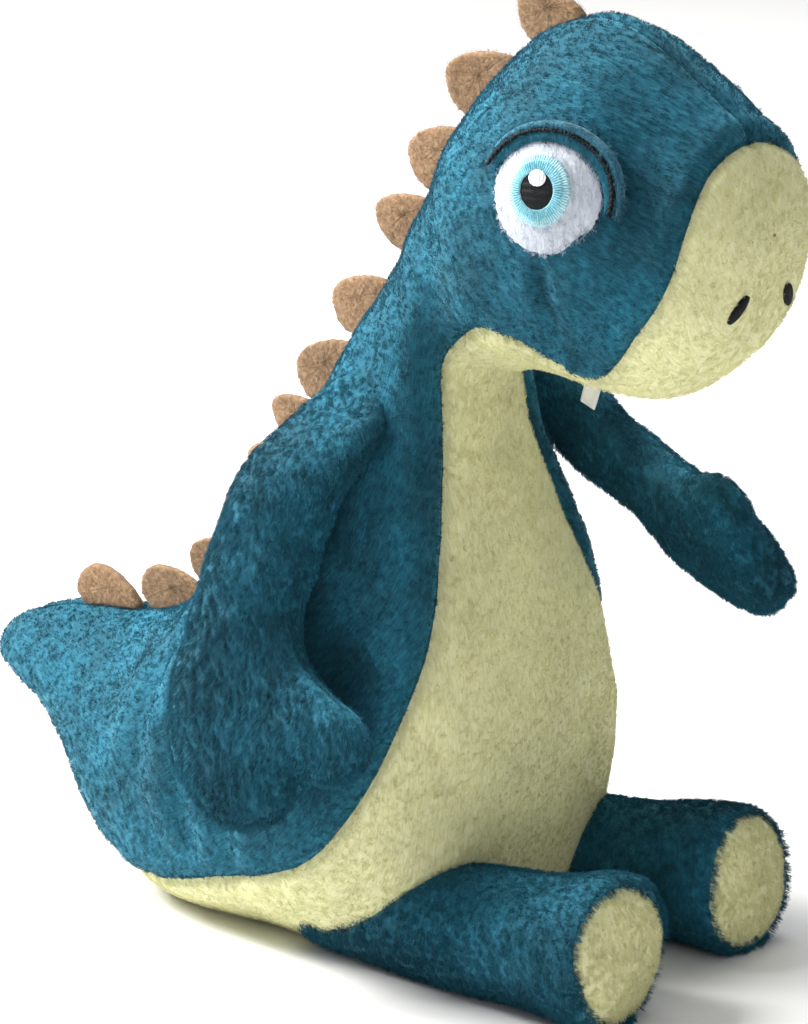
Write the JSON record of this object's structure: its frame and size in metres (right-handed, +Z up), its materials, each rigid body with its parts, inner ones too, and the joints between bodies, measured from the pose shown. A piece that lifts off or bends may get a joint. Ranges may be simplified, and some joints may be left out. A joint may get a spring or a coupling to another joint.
{
  "type": "stuffed dinosaur",
  "caption": "Sitting stuffed dinosaur in plush and felt, with a soft head, tail, arms and legs that bend at their sewn joints.",
  "frame": {"origin": "on the flat underside of the seat, in the toy's middle plane, where the toy rests on the floor", "axes": "the toy faces -Y with its tail towards +Y, its left is +X, and +Z is up"},
  "size_m": [0.1337, 0.2475, 0.2458],
  "materials": {
    "teal_plush": "short pile plush",
    "pale_lime_plush": "short pile plush",
    "tan_felt": "needled felt",
    "white_plush": "flat plush",
    "aqua_thread": "satin stitch",
    "dark_thread": "satin stitch",
    "lid_plush": "short pile plush",
    "label_satin": "woven satin",
    "wadding": "loose fibre"
  },
  "bodies": {
    "torso": {"belly_panel": "pale_lime_plush", "body_side_right": "teal_plush", "body_side_left": "teal_plush", "torso_stuffing": "teal_plush", "spine_03": "tan_felt", "spine_04": "tan_felt", "spine_05": "tan_felt", "spine_06": "tan_felt", "spine_07": "tan_felt", "spine_08": "tan_felt"},
    "head": {"head_side_right": "teal_plush", "head_side_left": "teal_plush", "muzzle_right": "pale_lime_plush", "muzzle_left": "pale_lime_plush", "chin_panel": "pale_lime_plush", "head_stuffing": "teal_plush", "care_label": "label_satin", "spine_09": "tan_felt", "spine_10": "tan_felt", "spine_11": "tan_felt", "spine_12": "tan_felt", "right_eye_white": "white_plush", "right_eye_iris": "aqua_thread", "right_eye_pupil": "dark_thread", "right_eye_glint": "white_plush", "right_eyelid": "lid_plush", "right_lash_line": "dark_thread", "right_nostril": "dark_thread", "left_eye_white": "white_plush", "left_eye_iris": "aqua_thread", "left_eye_pupil": "dark_thread", "left_eye_glint": "white_plush", "left_eyelid": "lid_plush", "left_lash_line": "dark_thread", "left_nostril": "dark_thread"},
    "tail": {"tail_side_right": "teal_plush", "tail_side_left": "teal_plush", "tail_underside": "pale_lime_plush", "tail_stuffing": "teal_plush", "spine_01": "tan_felt", "spine_02": "tan_felt"},
    "right_arm": {"right_arm_outer": "teal_plush", "right_arm_inner": "teal_plush", "right_arm_stuffing": "wadding"},
    "right_leg": {"right_leg_tube": "teal_plush", "right_sole_pad": "pale_lime_plush", "right_leg_stuffing": "wadding"},
    "left_arm": {"left_arm_outer": "teal_plush", "left_arm_inner": "teal_plush", "left_arm_stuffing": "wadding"},
    "left_leg": {"left_leg_tube": "teal_plush", "left_sole_pad": "pale_lime_plush", "left_leg_stuffing": "wadding"}
  },
  "joints": [
    {"name": "head_nod", "type": "hinge", "parent": "torso", "child": "head", "pos_m": [0, 0.00358, 0.14336], "axis": [-1, 0, 0], "range_deg": [-10, 4], "stiffness_Nm_per_rad": 0.8},
    {"name": "tail_wag", "type": "hinge", "parent": "torso", "child": "tail", "pos_m": [0, 0.05, 0.036], "axis": [0, 0, 1], "range_deg": [-10, 10], "stiffness_Nm_per_rad": 0.4},
    {"name": "right_arm_swing", "type": "hinge", "parent": "torso", "child": "right_arm", "pos_m": [-0.026, 0.003, 0.141], "axis": [-0.9114, 0, 0.4115], "range_deg": [-15, 65], "stiffness_Nm_per_rad": 0.08},
    {"name": "left_arm_swing", "type": "hinge", "parent": "torso", "child": "left_arm", "pos_m": [0.026, 0.003, 0.141], "axis": [-0.9114, 0, -0.4115], "range_deg": [-38, 14], "stiffness_Nm_per_rad": 0.08},
    {"name": "right_leg_swing", "type": "hinge", "parent": "torso", "child": "right_leg", "pos_m": [-0.03, 0.008, 0.012], "axis": [-1, 0, 0], "range_deg": [-60, 6], "stiffness_Nm_per_rad": 0.1},
    {"name": "left_leg_swing", "type": "hinge", "parent": "torso", "child": "left_leg", "pos_m": [0.03, 0.013, 0.012], "axis": [-1, 0, 0], "range_deg": [-60, 6], "stiffness_Nm_per_rad": 0.1}
  ]
}
